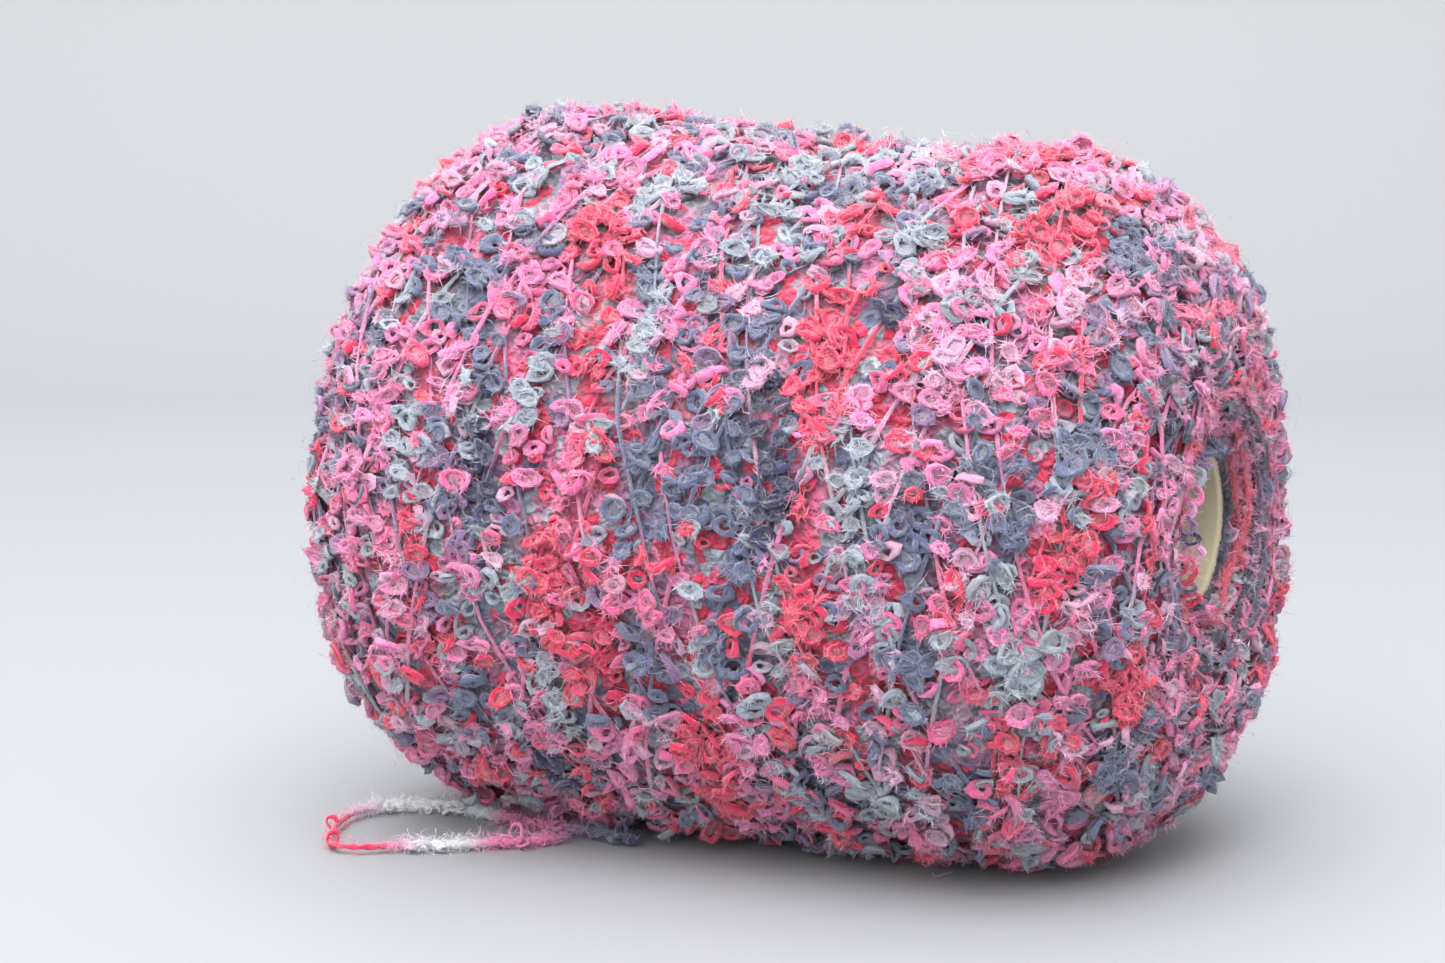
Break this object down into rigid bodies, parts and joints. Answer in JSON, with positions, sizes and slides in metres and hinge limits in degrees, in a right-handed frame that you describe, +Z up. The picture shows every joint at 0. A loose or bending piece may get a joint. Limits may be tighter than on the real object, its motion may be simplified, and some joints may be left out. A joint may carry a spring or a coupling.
{
  "type": "mohair yarn",
  "caption": "Cross-wound cone of space-dyed loop mohair yarn on a paper tube, lying on its side with rounded shoulders, a mouth at each end and a loose end.",
  "frame": {"origin": "on the surface the cone lies on, under the middle of the package and its tube", "axes": "+X towards the nose, the small end of the cone, +Y across the axis away from the viewer's side, +Z up"},
  "size_m": [0.179, 0.1422, 0.1421],
  "materials": {
    "wound_yarn": "soft looped mohair, space-dyed in coral red, pink, silver grey and slate",
    "core_tube": "matt beige paper tube",
    "loose_end": "soft looped mohair"
  },
  "bodies": {
    "root": {"wound_yarn": "wound_yarn", "core_tube": "core_tube", "loose_end": "loose_end"}
  },
  "joints": []
}
